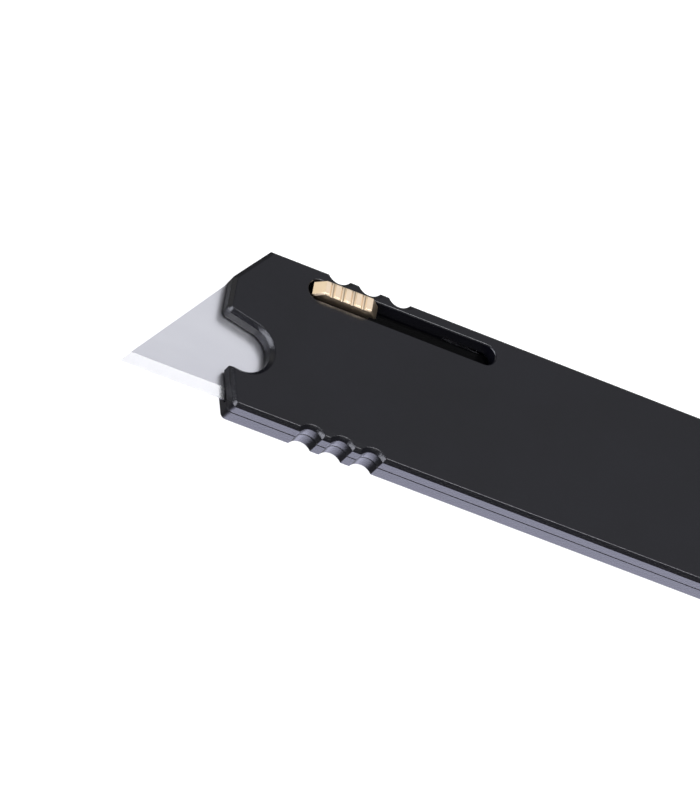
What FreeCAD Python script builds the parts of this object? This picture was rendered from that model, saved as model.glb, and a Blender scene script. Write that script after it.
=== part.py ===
import FreeCAD, Part
import math
import os

# Slim utility knife: two machined aluminium halves, a trapezoid blade on a sliding carrier and a
# brass thumb slide in a long slot. Everything is laid out in millimetres with x from the front
# towards the rear, y from the cutting-edge side towards the spine side and z up from the back
# face. save() moves each piece so that the origin is the centre of the body's back face.

# Driving dimensions: body
LENGTH = 92.0
WIDTH = 27.5
THICKNESS = 5.4
SPLIT_Z = 3.0            # parting plane between the halves
EDGE_CHAMFER = 0.6       # chamfer round both outer faces
SEAM_CHAMFER = 0.1       # edge break of both halves at the parting plane
MID_Y = WIDTH / 2
REAR_CUT = 3.0           # 45 degree cut on the two rear corners

# Front end: blunt upper prong, slanted nose cut, raked lower prong
NOSE_Y = 21.0            # the nose cut starts here on the front face
NOSE_ANGLE = 52.0
RAKE_FOOT_X = 3.69       # lower prong's front at the cutting-edge side
RAKE_SLOPE = 0.28
NOSE_RADIUS = 0.65
PRONG_RADIUS = 1.0

# Finger notch between the prongs
NOTCH_X = 4.07
NOTCH_Y = 10.16
NOTCH_R = 3.89
NOTCH_ROOF_ANGLE = 14.0  # slope of the straight roof that runs out to the front
LIP_R = 2.2              # convex lip that rolls over the lower prong's tip
LIP_X = 3.2              # the round bottom turns into the lip here

# Grip scallops on both long edges
SCALLOP_START = 14.72
SCALLOP_PITCH = 5.0
SCALLOP_CHORD = 3.54
SCALLOP_DEPTH = 0.95
SCALLOP_COUNT = 3

# Slot for the thumb slide
SLOT_Y = 23.9
SLOT_R = 1.59
SLOT_FRONT = 11.8
SLOT_REAR = 42.85
SLOT_CHAMFER = 0.2

# Blade: standard trapezoid
BLADE_LENGTH = 61.0
BLADE_WIDTH = 19.0
BLADE_THICKNESS = 0.6
BLADE_TOP = 2.75
BLADE_BOTTOM = BLADE_TOP - BLADE_THICKNESS
BLADE_TIP_X = -13.9
BLADE_EDGE_Y = 1.9
BLADE_END_ANGLE = 53.6
BEVEL_WIDTH = 1.9
EDGE_LAND = 0.02         # thickness left at the ground edge
BLADE_NOTCH_PITCH = 9.6
BLADE_NOTCH_WIDTH = 3.2
BLADE_NOTCH_DEPTH = 2.0
BLADE_SPINE_Y = BLADE_EDGE_Y + BLADE_WIDTH
BLADE_MID_X = BLADE_TIP_X + BLADE_LENGTH / 2

# Travel of the carriage and running gaps
TRAVEL = 19.0
SIDE_GAP = 0.15
BLADE_SIDE_GAP = 0.2
FLOOR_GAP = 0.1

# Carrier: tray under the blade, rail under the slot
RAIL_FRONT = 10.0
RAIL_REAR = 45.5
RAIL_NEAR_Y = 21.0
RAIL_FAR_Y = 25.4
RAIL_TOP = 2.5
FENCE_FAR_Y = 22.1       # low fence along the blade's spine
FENCE_TOP = 2.88
TRAY_NEAR_Y = 4.2
TRAY_BOTTOM = 1.35
TRAY_CORNER = 3.0
LUG_CLEARANCE = 0.15
LUG_TOP = 2.6
WINDOW = (19.5, 26.0, 8.0, 14.5)     # lightening window: x from, x to, y from, y to

# Pockets of the lower half
POCKET_FLOOR = 1.2
POCKET_REAR = 66.6
RAIL_POCKET_FRONT = 8.0
TRAY_POCKET_FRONT = 9.4
LEDGE_Y = 3.9            # the blade's edge runs over a ledge as far as this

# Pins and screws
STOP_R = 0.75
STOP_GAP = 0.1
STOP_Y = 23.3
STOP_BOTTOM = 0.5
STOP_TOP = 2.95
# Dowel pins: x, y, radius, bottom and top
DOWELS = {
    "dowel_pin_front": (31.3, 26.55, 0.5, 1.4, 4.3),
    "dowel_pin_rear": (70.2, MID_Y, 0.75, 1.0, 4.5),
}
DOWEL_END_GAP = 0.1      # the dowels' holes are this much deeper at each end
PIN_CHAMFER = 0.1
BODY_SCREWS = [(5.9, 24.0), (72.0, 4.2), (72.0, 23.3), (87.5, 4.2), (87.5, 23.3)]
M2_R = 1.0
M2_HEAD_R = 1.85
M2_HOLE_R = 1.1
M2_HEAD_Z = 0.1
M2_TIP = 4.4
M2_HOLE_TOP = 4.6
M2_RECESS_R = 0.8
M2_RECESS_DEPTH = 0.55
SLIDE_SCREWS = {"slide_screw_front": 15.0, "slide_screw_rear": 19.8}
M16_R = 0.8
M16_HEAD_R = 1.25
M16_HOLE_R = 0.85
M16_HEAD_Z = 1.4
M16_TIP = 4.5
M16_HOLE_TOP = 4.7
M16_RECESS_R = 0.5
M16_RECESS_DEPTH = 0.35

# Six-lobed recess, as parts of its radius
RECESS_CORE = 0.72
LOBE_CENTRE = 0.76
LOBE_RADIUS = 0.24
LOBE_COUNT = 6

# Magnets and glide strips
MAGNET_R = 2.0
MAGNET_THICKNESS = 0.6
MAGNET_BOTTOM = 1.5
MAGNET_GAP = 0.02
MAGNETS = {"blade_magnet_front": (15.2, 11.2), "blade_magnet_rear": (31.5, 11.2)}
STRIP_BOTTOM = 1.25
STRIP_TOP = 1.58
STRIP_WIDTH = 1.6
STRIP_GAP = 0.02
STRIPS = {"glide_strip_near": 5.6, "glide_strip_far": 18.6}
STRIP_FRONT = 13.0
STRIP_REAR = 43.5

# Detent leaf spring in a side pocket of the lower half
DETENT_X = 42.0
DETENT_Y = 25.62
DETENT_BUMP_R = 0.62
DETENT_NOTCH_R = 0.9
DETENT_NOTCH_TOP = 2.1
LEAF_THICKNESS = 0.22
LEAF_BOTTOM = 1.3
LEAF_TOP = 2.0
LEAF_HALF_SPAN = 6.6
LEAF_FOOT_Y = 26.6
SPRING_POCKET = (35.0, 49.0, 25.3, 26.75)

# Thumb slide
SLIDE_HALF_WIDTH = 1.25
SLIDE_BASE = (12.45, 23.03)
SLIDE_TOP = (13.88, 21.6)
SLIDE_BASE_Z = THICKNESS - 0.1
SLIDE_TOP_Z = THICKNESS + 1.45
NECK = (12.95, 22.55)
SLIDE_EDGE = 0.22
GROOVE_START = 15.03
GROOVE_PITCH = 1.72
GROOVE_R = 0.42
GROOVE_DEPTH = 0.3
GROOVE_COUNT = 4

# Lanyard hole
LANYARD_X = 85.8
LANYARD_R = 2.25
LANYARD_CHAMFER = 0.3

BEYOND = 8.0             # how far cutting tools run past the faces
OVERLAP = 0.1            # shapes that are joined run into each other by this much
ALMOST = 0.999


def point(x, y, z=0.0):
    return FreeCAD.Vector(x, y, z)


def box(x0, x1, y0, y1, z0, z1):
    return Part.makeBox(x1 - x0, y1 - y0, z1 - z0, point(x0, y0, z0))


def rod(x, y, radius, z0, z1):
    return Part.makeCylinder(radius, z1 - z0, point(x, y, z0))


def cone(x, y, r0, r1, z0, z1):
    return Part.makeCone(r0, r1, z1 - z0, point(x, y, z0))


def line(a, b):
    return Part.LineSegment(point(*a), point(*b)).toShape()


def arc(a, through, b):
    return Part.Arc(point(*a), point(*through), point(*b)).toShape()


def on_circle(cx, cy, radius, degrees):
    """Point on a circle, with the angle measured from +x towards +y."""
    angle = math.radians(degrees)
    return (cx + radius * math.cos(angle), cy + radius * math.sin(angle))


def prism(edges, z0, z1):
    """Solid between two heights over a closed outline of edges drawn at z = 0."""
    face = Part.Face(Part.Wire(edges))
    face.translate(point(0, 0, z0))
    return face.extrude(point(0, 0, z1 - z0))


def polygon(points, z0, z1):
    corners = points + points[:1]
    return prism([line(a, b) for a, b in zip(corners, corners[1:])], z0, z1)


def stadium(x0, x1, y, radius, z0, z1):
    """Round-ended bar or slot along x."""
    left = x0 + radius
    right = x1 - radius
    outline = [
        line((left, y - radius), (right, y - radius)),
        arc((right, y - radius), (x1, y), (right, y + radius)),
        line((right, y + radius), (left, y + radius)),
        arc((left, y + radius), (x0, y), (left, y - radius)),
    ]
    return prism(outline, z0, z1)


def fuse_all(shapes):
    whole = shapes[0]
    for other in shapes[1:]:
        whole = whole.fuse(other)
    return whole.removeSplitter()


def cut_all(shape, tools):
    for tool in tools:
        shape = shape.cut(tool)
    return shape.removeSplitter()


def save(shape, name):
    """Write one node, moved so that the origin is the centre of the body's back face."""
    solid = shape.copy()
    solid.translate(point(-LENGTH / 2, -MID_Y, 0))
    if not solid.isValid():
        raise ValueError(name + " is not a valid shape")
    solid.exportStep("parts/" + name + ".step")


def notch_tool(z0, z1):
    """Hook-shaped finger notch: slanted roof, round back and a lip over the lower prong's tip."""
    roof_angle = 90 - NOTCH_ROOF_ANGLE
    roof_end = on_circle(NOTCH_X, NOTCH_Y, NOTCH_R, roof_angle)
    back = on_circle(NOTCH_X, NOTCH_Y, NOTCH_R, 0)
    bottom_angle = -90 - math.degrees(math.asin((NOTCH_X - LIP_X) / NOTCH_R))
    bottom = on_circle(NOTCH_X, NOTCH_Y, NOTCH_R, bottom_angle)
    lip_x, lip_y = on_circle(bottom[0], bottom[1], LIP_R, bottom_angle)
    lip_top = on_circle(lip_x, lip_y, LIP_R, 90)
    lip_end = on_circle(lip_x, lip_y, LIP_R, 120)
    rise = math.tan(math.radians(NOTCH_ROOF_ANGLE))
    roof_start = (-BEYOND, roof_end[1] + rise * (roof_end[0] + BEYOND))
    outline = [
        line(roof_start, roof_end),
        arc(roof_end, back, bottom),
        arc(bottom, lip_top, lip_end),
        line(lip_end, (-BEYOND, lip_end[1])),
        line((-BEYOND, lip_end[1]), roof_start),
    ]
    return prism(outline, z0, z1)


def scallop_tools(z0, z1):
    """Cylinders that cut the grip scallops into both long edges."""
    half = SCALLOP_CHORD / 2
    radius = (half ** 2 + SCALLOP_DEPTH ** 2) / (2 * SCALLOP_DEPTH)
    stand_off = radius - SCALLOP_DEPTH
    tools = []
    for index in range(SCALLOP_COUNT):
        x = SCALLOP_START + half + index * SCALLOP_PITCH
        tools.append(rod(x, -stand_off, radius, z0, z1))
        tools.append(rod(x, WIDTH + stand_off, radius, z0, z1))
    return tools


def round_corner(shape, x, y, radius):
    """Round the one upright edge that stands nearest to (x, y)."""
    upright = []
    for edge in shape.Edges:
        first = edge.Vertexes[0].Point
        last = edge.Vertexes[-1].Point
        if math.hypot(first.x - last.x, first.y - last.y) < 1e-6:
            upright.append((math.hypot(first.x - x, first.y - y), edge))
    nearest = min(upright, key=lambda pair: pair[0])[1]
    return shape.makeFillet(radius, [nearest])


def body_outline(z0, z1):
    """The outline that both halves share, as a solid between two heights."""
    rake_top_y = RAKE_FOOT_X / RAKE_SLOPE
    nose_run = (WIDTH - NOSE_Y) / math.tan(math.radians(NOSE_ANGLE))
    corners = [
        (RAKE_FOOT_X, 0),
        (LENGTH - REAR_CUT, 0),
        (LENGTH, REAR_CUT),
        (LENGTH, WIDTH - REAR_CUT),
        (LENGTH - REAR_CUT, WIDTH),
        (nose_run, WIDTH),
        (0, NOSE_Y),
        (0, rake_top_y),
    ]
    body = polygon(corners, z0, z1).cut(notch_tool(z0, z1))
    body = round_corner(body, RAKE_FOOT_X, 0, PRONG_RADIUS)
    body = round_corner(body, 0, NOSE_Y, NOSE_RADIUS)
    roof_foot_y = NOTCH_Y + NOTCH_R + NOTCH_X * math.tan(math.radians(NOTCH_ROOF_ANGLE))
    body = round_corner(body, 0, roof_foot_y, PRONG_RADIUS)
    return cut_all(body, scallop_tools(z0, z1))


def chamfer_rim(shape, z, size):
    """Chamfer the whole rim of the face that lies at height z."""
    rim = []
    for edge in shape.Edges:
        if abs(edge.BoundBox.ZMin - z) < 1e-6 and abs(edge.BoundBox.ZMax - z) < 1e-6:
            rim.append(edge)
    return shape.makeChamfer(size, rim)


def lanyard_tools():
    """Through hole with a small countersink on each face."""
    wide = LANYARD_R + LANYARD_CHAMFER
    inner = THICKNESS - LANYARD_CHAMFER
    return [
        rod(LANYARD_X, MID_Y, LANYARD_R, -BEYOND, THICKNESS + BEYOND),
        cone(LANYARD_X, MID_Y, wide, LANYARD_R, 0, LANYARD_CHAMFER),
        cone(LANYARD_X, MID_Y, LANYARD_R, wide, inner, THICKNESS),
    ]


def dowel_tools():
    gap = DOWEL_END_GAP
    return [rod(x, y, radius, z0 - gap, z1 + gap) for x, y, radius, z0, z1 in DOWELS.values()]


def upper_shell():
    """Upper half with the slot for the thumb slide; screws enter blind holes from below."""
    shell = chamfer_rim(body_outline(SPLIT_Z, THICKNESS), THICKNESS, EDGE_CHAMFER)
    shell = chamfer_rim(shell, SPLIT_Z, SEAM_CHAMFER)
    slot = stadium(SLOT_FRONT, SLOT_REAR, SLOT_Y, SLOT_R, SPLIT_Z, THICKNESS)
    slot = slot.fuse(slot_countersink())
    threads = [rod(x, y, M2_R, SPLIT_Z, M2_HOLE_TOP) for x, y in BODY_SCREWS]
    return cut_all(shell, [slot] + threads + dowel_tools() + lanyard_tools())


def slot_countersink():
    """The small chamfer round the slot's upper edge, as a solid to cut away."""
    x0 = SLOT_FRONT - SLOT_CHAMFER
    x1 = SLOT_REAR + SLOT_CHAMFER
    wide = stadium(x0, x1, SLOT_Y, SLOT_R + SLOT_CHAMFER, THICKNESS - SLOT_CHAMFER, THICKNESS)
    # A full chamfer would leave no upright wall at all, which the chamfer tool refuses
    return chamfer_rim(wide, THICKNESS - SLOT_CHAMFER, SLOT_CHAMFER * ALMOST)


def stop_positions():
    """Front and rear stop pins stand just clear of the rail's two ends."""
    reach = STOP_GAP + STOP_R
    return {"front_stop_pin": RAIL_FRONT - reach, "rear_stop_pin": RAIL_REAR + TRAVEL + reach}


def countersunk_hole(x, y, head_r, head_z, hole_r, bottom, top):
    """Clearance hole whose countersink opens at the height bottom."""
    mouth_r = head_r + head_z - bottom
    sink_top = bottom + mouth_r - hole_r
    return [rod(x, y, hole_r, bottom, top), cone(x, y, mouth_r, hole_r, bottom, sink_top)]


def lower_shell():
    """Lower half: holds the carriage pocket, the spring pocket and all the pins."""
    shell = chamfer_rim(body_outline(0, SPLIT_Z), 0, EDGE_CHAMFER)
    shell = chamfer_rim(shell, SPLIT_Z, SEAM_CHAMFER)
    blade_y0 = BLADE_EDGE_Y - BLADE_SIDE_GAP
    blade_y1 = BLADE_SPINE_Y + BLADE_SIDE_GAP
    rail_y1 = RAIL_FAR_Y + SIDE_GAP
    tools = [
        box(-BEYOND, POCKET_REAR, blade_y0, blade_y1, BLADE_BOTTOM - FLOOR_GAP, SPLIT_Z),
        box(TRAY_POCKET_FRONT, POCKET_REAR, LEDGE_Y, rail_y1, POCKET_FLOOR, SPLIT_Z),
        box(RAIL_POCKET_FRONT, POCKET_REAR, blade_y1 - OVERLAP, rail_y1, POCKET_FLOOR, SPLIT_Z),
        box(*SPRING_POCKET, POCKET_FLOOR, SPLIT_Z),
    ]
    for x in stop_positions().values():
        tools.append(rod(x, STOP_Y, STOP_R, STOP_BOTTOM, SPLIT_Z))
    for x, y in BODY_SCREWS:
        tools += countersunk_hole(x, y, M2_HEAD_R, M2_HEAD_Z, M2_HOLE_R, 0, SPLIT_Z)
    return cut_all(shell, tools + dowel_tools() + lanyard_tools())


def blade():
    """Trapezoid blade, ground from both sides to the cutting edge, notched in its spine."""
    middle = (BLADE_TOP + BLADE_BOTTOM) / 2
    bevel_y = BLADE_EDGE_Y + BEVEL_WIDTH
    section = [
        (BLADE_EDGE_Y, middle - EDGE_LAND / 2),
        (BLADE_EDGE_Y, middle + EDGE_LAND / 2),
        (bevel_y, BLADE_TOP),
        (BLADE_SPINE_Y, BLADE_TOP),
        (BLADE_SPINE_Y, BLADE_BOTTOM),
        (bevel_y, BLADE_BOTTOM),
    ]
    ring = [point(BLADE_TIP_X, y, z) for y, z in section + section[:1]]
    bar = Part.Face(Part.makePolygon(ring)).extrude(point(BLADE_LENGTH, 0, 0))
    run = BLADE_WIDTH / math.tan(math.radians(BLADE_END_ANGLE))
    tail_x = BLADE_TIP_X + BLADE_LENGTH
    plan = [
        (BLADE_TIP_X, BLADE_EDGE_Y),
        (tail_x, BLADE_EDGE_Y),
        (tail_x - run, BLADE_SPINE_Y),
        (BLADE_TIP_X + run, BLADE_SPINE_Y),
    ]
    solid = bar.common(polygon(plan, 0, THICKNESS))
    radius = BLADE_NOTCH_WIDTH / 2
    notch_y = BLADE_SPINE_Y - BLADE_NOTCH_DEPTH + radius
    tools = []
    for side in (-1, 1):
        x = BLADE_MID_X + side * BLADE_NOTCH_PITCH / 2
        tools.append(rod(x, notch_y, radius, 0, THICKNESS))
        tools.append(box(x - radius, x + radius, notch_y, BLADE_SPINE_Y + 1, 0, THICKNESS))
    return cut_all(solid, tools)


def blade_carrier():
    """Tray with magnet pockets under the blade, rail under the slot, lugs for its notches."""
    plan = [
        (RAIL_FRONT, TRAY_NEAR_Y + TRAY_CORNER),
        (RAIL_FRONT + TRAY_CORNER, TRAY_NEAR_Y),
        (RAIL_REAR - TRAY_CORNER, TRAY_NEAR_Y),
        (RAIL_REAR, TRAY_NEAR_Y + TRAY_CORNER),
        (RAIL_REAR, RAIL_FAR_Y),
        (RAIL_FRONT, RAIL_FAR_Y),
    ]
    parts = [
        polygon(plan, TRAY_BOTTOM, BLADE_BOTTOM),
        box(RAIL_FRONT, RAIL_REAR, RAIL_NEAR_Y, RAIL_FAR_Y, BLADE_BOTTOM, RAIL_TOP),
        box(RAIL_FRONT, RAIL_REAR, RAIL_NEAR_Y, FENCE_FAR_Y, RAIL_TOP, FENCE_TOP),
    ]
    lug_r = BLADE_NOTCH_WIDTH / 2 - LUG_CLEARANCE
    lug_y = BLADE_SPINE_Y - BLADE_NOTCH_DEPTH + BLADE_NOTCH_WIDTH / 2
    for side in (-1, 1):
        x = BLADE_MID_X + side * BLADE_NOTCH_PITCH / 2
        parts.append(rod(x, lug_y, lug_r, BLADE_BOTTOM, LUG_TOP))
        root_y = RAIL_NEAR_Y + OVERLAP
        parts.append(box(x - lug_r, x + lug_r, lug_y, root_y, BLADE_BOTTOM, LUG_TOP))
    x0, x1, y0, y1 = WINDOW
    tools = [box(x0, x1, y0, y1, 0, THICKNESS)]
    for x, y in MAGNETS.values():
        tools.append(rod(x, y, MAGNET_R + MAGNET_GAP, MAGNET_BOTTOM, BLADE_BOTTOM))
    for y in STRIPS.values():
        far = y + STRIP_WIDTH + STRIP_GAP
        x1 = STRIP_REAR + STRIP_GAP
        tools.append(box(STRIP_FRONT - STRIP_GAP, x1, y - STRIP_GAP, far, TRAY_BOTTOM, STRIP_TOP))
    for x in (DETENT_X, DETENT_X - TRAVEL):
        tools.append(rod(x, DETENT_Y, DETENT_NOTCH_R, TRAY_BOTTOM, DETENT_NOTCH_TOP))
    for x in SLIDE_SCREWS.values():
        hole = countersunk_hole(
            x, SLOT_Y, M16_HEAD_R, M16_HEAD_Z, M16_HOLE_R, TRAY_BOTTOM, RAIL_TOP
        )
        tools += hole
    return cut_all(fuse_all(parts), tools)


def thumb_slide():
    """Brass slide: ramped bar with cross grooves above the face, round-ended neck in the slot."""
    y0 = SLOT_Y - SLIDE_HALF_WIDTH
    profile = [
        point(SLIDE_BASE[0], y0, SLIDE_BASE_Z),
        point(SLIDE_TOP[0], y0, SLIDE_TOP_Z),
        point(SLIDE_TOP[1], y0, SLIDE_TOP_Z),
        point(SLIDE_BASE[1], y0, SLIDE_BASE_Z),
        point(SLIDE_BASE[0], y0, SLIDE_BASE_Z),
    ]
    bar = Part.Face(Part.makePolygon(profile)).extrude(point(0, 2 * SLIDE_HALF_WIDTH, 0))
    long_edges = []
    for edge in bar.Edges:
        reach = edge.BoundBox
        flat_across = reach.YLength < 1e-6
        if flat_across and reach.ZMax > THICKNESS:
            long_edges.append(edge)
    bar = bar.makeChamfer(SLIDE_EDGE, long_edges)
    axis_z = SLIDE_TOP_Z + GROOVE_R - GROOVE_DEPTH
    tools = []
    for index in range(GROOVE_COUNT):
        x = GROOVE_START + index * GROOVE_PITCH
        start = point(x, SLOT_Y - BEYOND / 2, axis_z)
        tools.append(Part.makeCylinder(GROOVE_R, BEYOND, start, point(0, 1, 0)))
    neck_top = SLIDE_BASE_Z + OVERLAP / 2
    neck = stadium(NECK[0], NECK[1], SLOT_Y, SLIDE_HALF_WIDTH, RAIL_TOP, neck_top)
    for x in SLIDE_SCREWS.values():
        tools.append(rod(x, SLOT_Y, M16_R, RAIL_TOP, M16_HOLE_TOP))
    return cut_all(fuse_all([bar, neck]), tools)


def star_recess(x, y, radius, z0, z1):
    """Six-lobed drive recess."""
    lobes = [rod(x, y, radius * RECESS_CORE, z0, z1)]
    for index in range(LOBE_COUNT):
        angle = 360 * index / LOBE_COUNT
        lobe_x, lobe_y = on_circle(x, y, radius * LOBE_CENTRE, angle)
        lobes.append(rod(lobe_x, lobe_y, radius * LOBE_RADIUS, z0, z1))
    return fuse_all(lobes)


def countersunk_screw(x, y, shank_r, head_r, head_z, tip, recess):
    """Flat-head screw that points up, with its head at the height head_z."""
    neck_z = head_z + head_r - shank_r
    recess_r, recess_depth = recess
    parts = [cone(x, y, head_r, shank_r, head_z, neck_z), rod(x, y, shank_r, neck_z, tip)]
    drive = star_recess(x, y, recess_r, head_z, head_z + recess_depth)
    return cut_all(fuse_all(parts), [drive])


def slide_screw(x):
    recess = (M16_RECESS_R, M16_RECESS_DEPTH)
    return countersunk_screw(x, SLOT_Y, M16_R, M16_HEAD_R, M16_HEAD_Z, M16_TIP, recess)


def body_screw(x, y):
    recess = (M2_RECESS_R, M2_RECESS_DEPTH)
    return countersunk_screw(x, y, M2_R, M2_HEAD_R, M2_HEAD_Z, M2_TIP, recess)


def pin(x, y, radius, z0, z1):
    """Straight pin with both ends broken."""
    solid = rod(x, y, radius, z0, z1)
    return chamfer_rim(chamfer_rim(solid, z0, PIN_CHAMFER), z1, PIN_CHAMFER)


def detent_spring():
    """Leaf spring: two sloping arms and a round bump that snaps into the rail's notches."""
    inner_r = DETENT_BUMP_R - LEAF_THICKNESS
    ring = rod(DETENT_X, DETENT_Y, DETENT_BUMP_R, LEAF_BOTTOM, LEAF_TOP)
    ring = ring.cut(rod(DETENT_X, DETENT_Y, inner_r, LEAF_BOTTOM, LEAF_TOP))
    x0 = DETENT_X - BEYOND
    x1 = DETENT_X + BEYOND
    near_half = box(x0, x1, DETENT_Y - BEYOND, DETENT_Y + OVERLAP / 2, LEAF_BOTTOM, LEAF_TOP)
    parts = [ring.common(near_half)]
    for side in (-1, 1):
        root_x = DETENT_X + side * (DETENT_BUMP_R - LEAF_THICKNESS)
        foot_x = DETENT_X + side * LEAF_HALF_SPAN
        arm = [
            (root_x, DETENT_Y),
            (root_x + side * LEAF_THICKNESS, DETENT_Y),
            (foot_x, LEAF_FOOT_Y - LEAF_THICKNESS),
            (foot_x, LEAF_FOOT_Y),
            (root_x, DETENT_Y + LEAF_THICKNESS),
        ]
        parts.append(polygon(arm, LEAF_BOTTOM, LEAF_TOP))
    return fuse_all(parts)


def save_all():
    save(upper_shell(), "upper_shell")
    save(lower_shell(), "lower_shell")
    save(blade(), "blade")
    save(blade_carrier(), "blade_carrier")
    save(thumb_slide(), "thumb_slide")
    save(detent_spring(), "detent_spring")
    for name, x in SLIDE_SCREWS.items():
        save(slide_screw(x), name)
    for name, (x, y) in MAGNETS.items():
        save(rod(x, y, MAGNET_R, MAGNET_BOTTOM, MAGNET_BOTTOM + MAGNET_THICKNESS), name)
    for name, y in STRIPS.items():
        save(box(STRIP_FRONT, STRIP_REAR, y, y + STRIP_WIDTH, STRIP_BOTTOM, STRIP_TOP), name)
    for name, x in stop_positions().items():
        save(pin(x, STOP_Y, STOP_R, STOP_BOTTOM, STOP_TOP), name)
    for name, (x, y, radius, z0, z1) in DOWELS.items():
        save(pin(x, y, radius, z0, z1), name)
    for number, (x, y) in enumerate(BODY_SCREWS, start=1):
        save(body_screw(x, y), "body_screw_%d" % number)


os.makedirs("parts", exist_ok=True)
save_all()
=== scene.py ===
import math
from collections import namedtuple

import bpy
from mathutils import Matrix, Vector


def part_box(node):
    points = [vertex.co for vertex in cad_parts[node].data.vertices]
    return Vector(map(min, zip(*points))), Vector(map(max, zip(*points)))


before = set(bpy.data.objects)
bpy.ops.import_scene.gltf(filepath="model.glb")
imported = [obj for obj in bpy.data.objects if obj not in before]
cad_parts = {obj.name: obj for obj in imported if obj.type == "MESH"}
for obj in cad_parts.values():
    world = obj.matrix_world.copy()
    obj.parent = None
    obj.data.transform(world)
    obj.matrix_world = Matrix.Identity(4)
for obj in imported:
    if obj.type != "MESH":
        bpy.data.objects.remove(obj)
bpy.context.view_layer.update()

# Camera, fitted to the knife's own edges: angles in degrees, distance and places in metres
AZIMUTH = -30.38
ELEVATION = 53.81
ROLL = 46.25
DISTANCE = 0.9119
LENS_MM = 276.66
SENSOR_MM = 36.0
LOOK_AT = Vector((-0.02244, -0.00201, -0.00081))
CLIP_START = 0.01

# Floor of pale paper: sizes in metres
FLOOR_SIZE = 3.0
FLOOR_GAP = 0.00002       # keeps the floor from sharing a plane with the underside
FLOOR_GREY = 0.36
FLOOR_GLOW = 0.80
FLOOR_ROUGHNESS = 0.8

# Light: radiances are relative to a white floor of about 1
SKY_BASE = 0.20

# Soft round patches of the studio sky. Each is full out to one angle from its middle and gone at
# another, in degrees. The notes say where the patch shows at the camera's angle. The last one,
# below the horizon, is the bounce from the bench the knife lies on.
SkyPatch = namedtuple("SkyPatch", "azimuth elevation full gone radiance tint")
SKY_PATCHES = [
    # all that lies level: the body's face, the blade's flat and the slide's top
    SkyPatch(149.6, 54.0, 16.0, 36.0, 0.62, (0.96, 0.97, 1.04)),
    # the blade's bevel
    SkyPatch(108.5, 71.6, 8.0, 24.0, 0.20, (1.0, 1.0, 1.0)),
    # the bevel again, the edge break above the near chamfer, the walls of the notch and the slot
    SkyPatch(55.0, 68.5, 8.0, 18.0, 15.0, (0.96, 0.97, 1.03)),
    # the near chamfer and the near ends of the slide's grooves
    SkyPatch(30.4, 53.8, 6.0, 22.0, 2.8, (1.0, 1.0, 1.0)),
    # the slide's front slope
    SkyPatch(-121.7, 13.5, 8.0, 22.0, 0.80, (1.0, 0.98, 0.90)),
    # the near side wall
    SkyPatch(38.0, -50.0, 14.0, 44.0, 4.0, (0.76, 0.77, 1.0)),
]

# Widths of the edge breaks, in metres
SHELL_BREAK = 0.00007
CARRIER_BREAK = 0.00005
SMALL_BREAK = 0.00004
SCREW_BREAK = 0.00003

# How an edge break is made
BREAK_STEPS = 3
BREAK_ANGLE = math.radians(24.0)    # edges sharper than this are broken
FLAT_ANGLE = math.radians(1.0)      # faces that meet flatter than this become one
SAME_POINT = 1e-6                   # the CAD mesh's doubled corners are joined within this
SLIVER = 5e-7                       # points left closer than this by the break are joined

# The blade's ground bevel, known by its faces' normals: how far they lean across the blade, and
# how much they still face up or down
BEVEL_LEAN_LEAST = 0.05
BEVEL_LEAN_MOST = 0.5
BEVEL_FACING = 0.9

BODY_SCREWS = 5

# Base colours: one tone, or the two ends of a mottled one
SHELL_BLACK = (0.0022, 0.0022, 0.0036)
# The carrier's black: partly its own dyed black, partly painted shade, darker than the shells' for the
# dark inside the slot
SHADED_INNER_BLACK = (0.001, 0.001, 0.0011)
BLADE_DARK = (0.66, 0.662, 0.69)
BLADE_LIGHT = (0.71, 0.712, 0.735)
BEVEL_DARK = (0.67, 0.67, 0.67)
BEVEL_LIGHT = (0.72, 0.72, 0.72)
BRASS_DARK = (0.93, 0.745, 0.53)
BRASS_LIGHT = (0.97, 0.79, 0.58)
OXIDE_BLACK = (0.035, 0.035, 0.038)
PIN_GREY = (0.58, 0.58, 0.60)
STRIP_GREY = (0.40, 0.40, 0.43)
NICKEL_GREY = (0.74, 0.73, 0.70)
GLIDE_WHITE = (0.78, 0.78, 0.76)
MOTTLE = 0.15             # share by which a single tone's mottling darkens or lightens it


def view_direction(azimuth, elevation):
    """Unit vector from the knife at these angles in degrees, where azimuth 0 is -Y and 90 is +X."""
    a = math.radians(azimuth)
    e = math.radians(elevation)
    return Vector((math.sin(a) * math.cos(e), -math.cos(a) * math.cos(e), math.sin(e)))


# ---------------------------------------------------------------- node helpers


def new_material(name):
    """A material with its node tree and its shader node."""
    material = bpy.data.materials.new(name)
    material.use_nodes = True
    tree = material.node_tree
    shader = tree.nodes["Principled BSDF"]
    return material, tree, shader


def object_coords(tree, scale=(1, 1, 1)):
    """Object coordinates in metres, stretched by scale."""
    coords = tree.nodes.new("ShaderNodeTexCoord")
    mapping = tree.nodes.new("ShaderNodeMapping")
    mapping.inputs["Scale"].default_value = scale
    tree.links.new(coords.outputs["Object"], mapping.inputs["Vector"])
    return mapping.outputs["Vector"]


def scaled(colour, factor):
    return tuple(channel * factor for channel in colour)


def noise(tree, vector, scale=1.0, detail=4.0, roughness=0.5):
    """Noise from 0 to 1, with about scale cells to each unit of the vector."""
    node = tree.nodes.new("ShaderNodeTexNoise")
    node.inputs["Scale"].default_value = scale
    node.inputs["Detail"].default_value = detail
    node.inputs["Roughness"].default_value = roughness
    tree.links.new(vector, node.inputs["Vector"])
    return node.outputs["Fac"]


def ramp(tree, value, stops):
    """Colour ramp over value with two stops, each (position, colour)."""
    node = tree.nodes.new("ShaderNodeValToRGB")
    for element, (position, colour) in zip(node.color_ramp.elements, stops):
        element.position = position
        element.color = (*colour, 1.0)
    tree.links.new(value, node.inputs["Fac"])
    return node.outputs["Color"]


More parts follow.
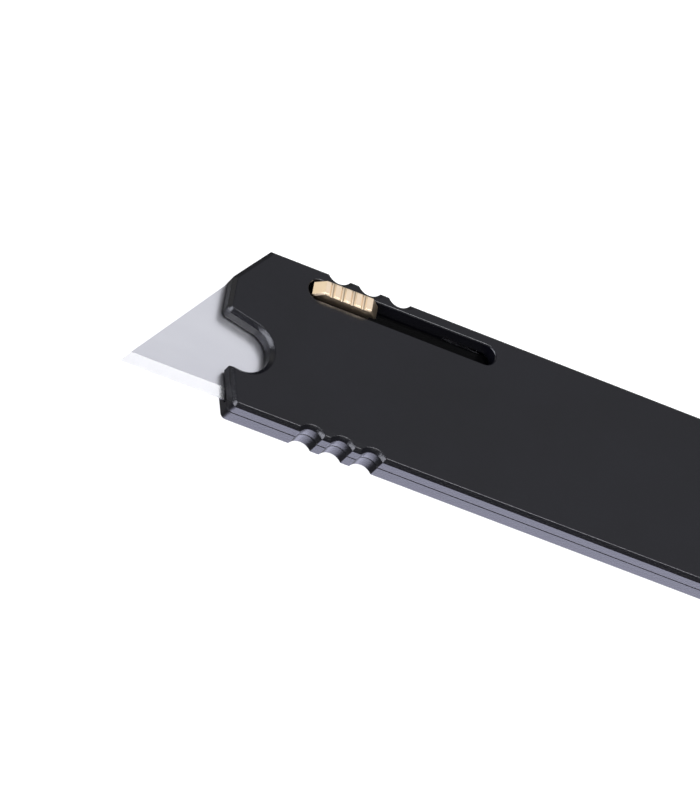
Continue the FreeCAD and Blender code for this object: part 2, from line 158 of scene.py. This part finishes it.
def remap(tree, value, low, high):
    """Value's range of 0 to 1 turned into low to high."""
    node = tree.nodes.new("ShaderNodeMapRange")
    node.inputs["To Min"].default_value = low
    node.inputs["To Max"].default_value = high
    tree.links.new(value, node.inputs["Value"])
    return node.outputs["Result"]


def bump(tree, height, strength, distance):
    """Normal of a surface that rises by distance, in metres, where height is 1."""
    node = tree.nodes.new("ShaderNodeBump")
    node.inputs["Strength"].default_value = strength
    node.inputs["Distance"].default_value = distance
    tree.links.new(height, node.inputs["Height"])
    return node.outputs["Normal"]


# ---------------------------------------------------------------- materials


def anodised(name, tone, roughness, grain, ior):
    """Bead-blasted, dyed and sealed aluminium: near black with a fine matt grain. A copy with a darker
    tone and lower ior also paints in shade.
    """
    material, tree, shader = new_material(name)
    links = tree.links
    coords = object_coords(tree)
    cloud = noise(tree, coords, scale=90.0, detail=3.0)
    beads = noise(tree, coords, scale=4200.0, detail=2.0, roughness=0.6)
    tint = ramp(tree, cloud, [(0.35, scaled(tone, 1 - MOTTLE)), (0.65, scaled(tone, 1 + MOTTLE))])
    rough = remap(tree, beads, low=roughness - 0.04, high=roughness + 0.04)
    links.new(tint, shader.inputs["Base Color"])
    links.new(rough, shader.inputs["Roughness"])
    links.new(bump(tree, beads, strength=grain, distance=0.00005), shader.inputs["Normal"])
    shader.inputs["IOR"].default_value = ior
    return material


def blade_steel():
    """The blade's flats: ground strip steel with faint grinding lines along the blade."""
    material, tree, shader = new_material("blade_steel")
    links = tree.links
    lines = noise(tree, object_coords(tree, scale=(120.0, 4000.0, 4000.0)), roughness=0.6)
    broad = noise(tree, object_coords(tree, scale=(60.0, 160.0, 160.0)), detail=3.0)
    tint = ramp(tree, broad, [(0.3, BLADE_DARK), (0.7, BLADE_LIGHT)])
    links.new(tint, shader.inputs["Base Color"])
    links.new(remap(tree, lines, low=0.25, high=0.36), shader.inputs["Roughness"])
    links.new(bump(tree, lines, strength=0.12, distance=0.000006), shader.inputs["Normal"])
    shader.inputs["Metallic"].default_value = 1.0
    return material


def bevel_steel():
    """The ground bevel: smoother steel with fine lines square to the edge."""
    material, tree, shader = new_material("bevel_steel")
    links = tree.links
    coords = object_coords(tree, scale=(9000.0, 300.0, 300.0))
    lines = noise(tree, coords, detail=3.0, roughness=0.6)
    tint = ramp(tree, lines, [(0.3, BEVEL_DARK), (0.7, BEVEL_LIGHT)])
    links.new(tint, shader.inputs["Base Color"])
    links.new(remap(tree, lines, low=0.23, high=0.27), shader.inputs["Roughness"])
    shader.inputs["Metallic"].default_value = 1.0
    return material


def brass():
    """Pale satin brass with fine lines across the slide left by the cutter."""
    material, tree, shader = new_material("satin_brass")
    links = tree.links
    coords = object_coords(tree, scale=(9000.0, 500.0, 1500.0))
    lines = noise(tree, coords, detail=3.0, roughness=0.6)
    patch = noise(tree, object_coords(tree), scale=500.0, detail=3.0)
    tint = ramp(tree, patch, [(0.3, BRASS_DARK), (0.7, BRASS_LIGHT)])
    links.new(tint, shader.inputs["Base Color"])
    links.new(remap(tree, lines, low=0.24, high=0.36), shader.inputs["Roughness"])
    links.new(bump(tree, lines, strength=0.35, distance=0.000006), shader.inputs["Normal"])
    shader.inputs["Metallic"].default_value = 1.0
    return material


def hardware(name, tone, roughness, metallic=1.0):
    """Small hardware: turned or rolled metal, or plastic, with a faint mottled finish."""
    material, tree, shader = new_material(name)
    links = tree.links
    mottle = noise(tree, object_coords(tree), scale=2500.0)
    tint = ramp(tree, mottle, [(0.3, scaled(tone, 1 - MOTTLE)), (0.7, tone)])
    rough = remap(tree, mottle, low=roughness - 0.06, high=roughness + 0.06)
    links.new(tint, shader.inputs["Base Color"])
    links.new(rough, shader.inputs["Roughness"])
    links.new(bump(tree, mottle, strength=0.08, distance=0.00001), shader.inputs["Normal"])
    shader.inputs["Metallic"].default_value = metallic
    return material


# ---------------------------------------------------------------- shapes


def soften_edges(piece, width):
    """Modifiers that break a CAD part's sharp edges by width and keep its flats flat."""
    weld = piece.modifiers.new("weld", "WELD")
    weld.merge_threshold = SAME_POINT
    flat = piece.modifiers.new("flat", "DECIMATE")
    flat.decimate_type = "DISSOLVE"
    flat.angle_limit = FLAT_ANGLE
    flat.use_dissolve_boundaries = False
    edge = piece.modifiers.new("edge", "BEVEL")
    edge.width = width
    edge.segments = BREAK_STEPS
    edge.limit_method = "ANGLE"
    edge.angle_limit = BREAK_ANGLE
    # Clamped, the shells' break would be thin all along. Unclamped, it crosses itself in tight corners
    edge.use_clamp_overlap = width < SHELL_BREAK
    edge.face_strength_mode = "FSTR_AFFECTED"
    slivers = piece.modifiers.new("slivers", "WELD")
    slivers.merge_threshold = SLIVER
    triangles = piece.modifiers.new("triangles", "TRIANGULATE")
    triangles.quad_method = "BEAUTY"
    triangles.ngon_method = "BEAUTY"
    triangles.min_vertices = 5          # four-sided faces stay whole
    normals = piece.modifiers.new("normals", "WEIGHTED_NORMAL")
    normals.keep_sharp = False
    normals.use_face_influence = True
    for face in piece.data.polygons:
        face.use_smooth = True


def dress(node, material, edge_break=None):
    """Give a CAD node its finish and, if edge_break gives a width, its broken edges."""
    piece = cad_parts[node]
    piece.data.materials.clear()
    piece.data.materials.append(material)
    if edge_break is not None:
        soften_edges(piece, edge_break)


def mark_bevel(material):
    """Put the bevel's own finish on the blade's ground bevel faces."""
    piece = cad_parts["blade"]
    piece.data.materials.append(material)
    bevel_slot = len(piece.data.materials) - 1
    for face in piece.data.polygons:
        leans = BEVEL_LEAN_LEAST < abs(face.normal.y) < BEVEL_LEAN_MOST
        if leans and abs(face.normal.z) > BEVEL_FACING:
            face.material_index = bevel_slot


# ---------------------------------------------------------------- stage


def build_floor():
    """Square of pale paper that the knife lies on."""
    mesh = bpy.data.meshes.new("floor")
    h = FLOOR_SIZE / 2
    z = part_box("lower_shell")[0].z - FLOOR_GAP
    mesh.from_pydata([(-h, -h, z), (h, -h, z), (h, h, z), (-h, h, z)], [], [(0, 1, 2, 3)])
    floor = bpy.data.objects.new("floor", mesh)
    bpy.context.scene.collection.objects.link(floor)
    material, tree, shader = new_material("floor_paper")
    shader.inputs["Base Color"].default_value = (FLOOR_GREY, FLOOR_GREY, FLOOR_GREY, 1.0)
    shader.inputs["Roughness"].default_value = FLOOR_ROUGHNESS
    shader.inputs["Emission Color"].default_value = (1.0, 1.0, 1.0, 1.0)
    shader.inputs["Emission Strength"].default_value = FLOOR_GLOW
    floor.data.materials.append(material)
    # Neither reflections nor shadows meet the floor: the sky's lowest patch is its bounce
    floor.visible_glossy = False
    floor.visible_shadow = False


def panel(name, azimuth, elevation, distance, width, height, radiance, tint):
    """Soft rectangular light that faces the knife from the given direction, sizes in metres."""
    light = bpy.data.lights.new(name, "AREA")
    light.shape = "RECTANGLE"
    light.size = width
    light.size_y = height
    # An area light of P watts over A square metres has a radiance of P / (pi * A)
    light.energy = radiance * math.pi * width * height
    light.color = tint
    lamp = bpy.data.objects.new(name, light)
    bpy.context.scene.collection.objects.link(lamp)
    towards = view_direction(azimuth, elevation)
    lamp.location = LOOK_AT + towards * distance
    lamp.rotation_euler = towards.to_track_quat("Z", "Y").to_euler()
    lamp.visible_camera = False


def patch_light(tree, direction, patch):
    """Colour that one soft-edged patch adds to the sky in this direction."""
    towards = tree.nodes.new("ShaderNodeVectorMath")
    towards.operation = "DOT_PRODUCT"
    towards.inputs[1].default_value = view_direction(patch.azimuth, patch.elevation)
    tree.links.new(direction, towards.inputs[0])
    fade = tree.nodes.new("ShaderNodeMapRange")
    fade.interpolation_type = "SMOOTHSTEP"
    fade.inputs["From Min"].default_value = math.cos(math.radians(patch.gone))
    fade.inputs["From Max"].default_value = math.cos(math.radians(patch.full))
    tree.links.new(towards.outputs["Value"], fade.inputs["Value"])
    colour = tree.nodes.new("ShaderNodeVectorMath")
    colour.operation = "SCALE"
    colour.inputs[0].default_value = scaled(patch.tint, patch.radiance)
    tree.links.new(fade.outputs["Result"], colour.inputs["Scale"])
    return colour.outputs["Vector"]


def build_sky():
    """Even base light with every soft patch added to it."""
    world = bpy.data.worlds.new("studio")
    bpy.context.scene.world = world
    world.use_nodes = True
    tree = world.node_tree
    direction = tree.nodes.new("ShaderNodeTexCoord").outputs["Generated"]
    total = None
    for patch in SKY_PATCHES:
        light = patch_light(tree, direction, patch)
        add = tree.nodes.new("ShaderNodeVectorMath")
        add.operation = "ADD"
        tree.links.new(light, add.inputs[0])
        if total is None:
            add.inputs[1].default_value = (SKY_BASE, SKY_BASE, SKY_BASE)
        else:
            tree.links.new(total, add.inputs[1])
        total = add.outputs["Vector"]
    tree.links.new(total, tree.nodes["Background"].inputs["Color"])


def build_softbox():
    """Long softbox off the knife's front near corner: the glints on the notch and the scallops."""
    panel(
        "softbox_left",
        azimuth=-56.0,
        elevation=32.0,
        distance=0.7,
        width=0.78,
        height=0.26,
        radiance=11.5,
        tint=(0.90, 0.92, 1.03),
    )


def build_camera():
    """Camera at the fitted angles, rolled about its own line of sight."""
    back = view_direction(AZIMUTH, ELEVATION)
    level = Vector((math.cos(math.radians(AZIMUTH)), math.sin(math.radians(AZIMUTH)), 0.0))
    raised = back.cross(level)
    roll = math.radians(ROLL)
    right = level * math.cos(roll) + raised * math.sin(roll)
    up = raised * math.cos(roll) - level * math.sin(roll)
    place = LOOK_AT + back * DISTANCE
    camera = bpy.data.cameras.new("camera")
    camera.lens = LENS_MM
    camera.sensor_width = SENSOR_MM
    camera.clip_start = CLIP_START
    eye = bpy.data.objects.new("camera", camera)
    bpy.context.scene.collection.objects.link(eye)
    axes = Matrix((right, up, back)).transposed().to_4x4()
    eye.matrix_world = Matrix.Translation(place) @ axes
    bpy.context.scene.camera = eye


# ---------------------------------------------------------------- assembly


def dress_all():
    """Every CAD node gets its finish. The blade, the pins and the spring keep their CAD edges."""
    shell = anodised("black_anodised", SHELL_BLACK, roughness=0.22, grain=0.7, ior=1.39)
    # The carrier's copy of the black is darker and reflects less: painted shade for the dark inside
    # the slot
    inner = anodised("black_inner_shaded", SHADED_INNER_BLACK, roughness=0.22, grain=0.1, ior=1.16)
    screw = hardware("black_oxide", OXIDE_BLACK, roughness=0.42)
    ground = hardware("ground_pin", PIN_GREY, roughness=0.28)
    strip = hardware("rolled_strip", STRIP_GREY, roughness=0.34)
    nickel = hardware("nickel", NICKEL_GREY, roughness=0.22)
    glide = hardware("glide_plastic", GLIDE_WHITE, roughness=0.5, metallic=0.0)
    dress("upper_shell", shell, SHELL_BREAK)
    dress("lower_shell", shell, SHELL_BREAK)
    dress("blade", blade_steel())
    mark_bevel(bevel_steel())
    dress("thumb_slide", brass(), SMALL_BREAK)
    dress("blade_carrier", inner, CARRIER_BREAK)
    dress("detent_spring", strip)
    for end in ("front", "rear"):
        dress("slide_screw_" + end, screw, SCREW_BREAK)
        dress("blade_magnet_" + end, nickel, SMALL_BREAK)
        dress(end + "_stop_pin", ground)
        dress("dowel_pin_" + end, ground)
    for side in ("near", "far"):
        dress("glide_strip_" + side, glide, SMALL_BREAK)
    for number in range(1, BODY_SCREWS + 1):
        dress("body_screw_%d" % number, screw, SCREW_BREAK)


build_camera()
build_floor()
build_sky()
build_softbox()
dress_all()
# Plain display colours keep the white paper white
bpy.context.scene.view_settings.view_transform = "Standard"
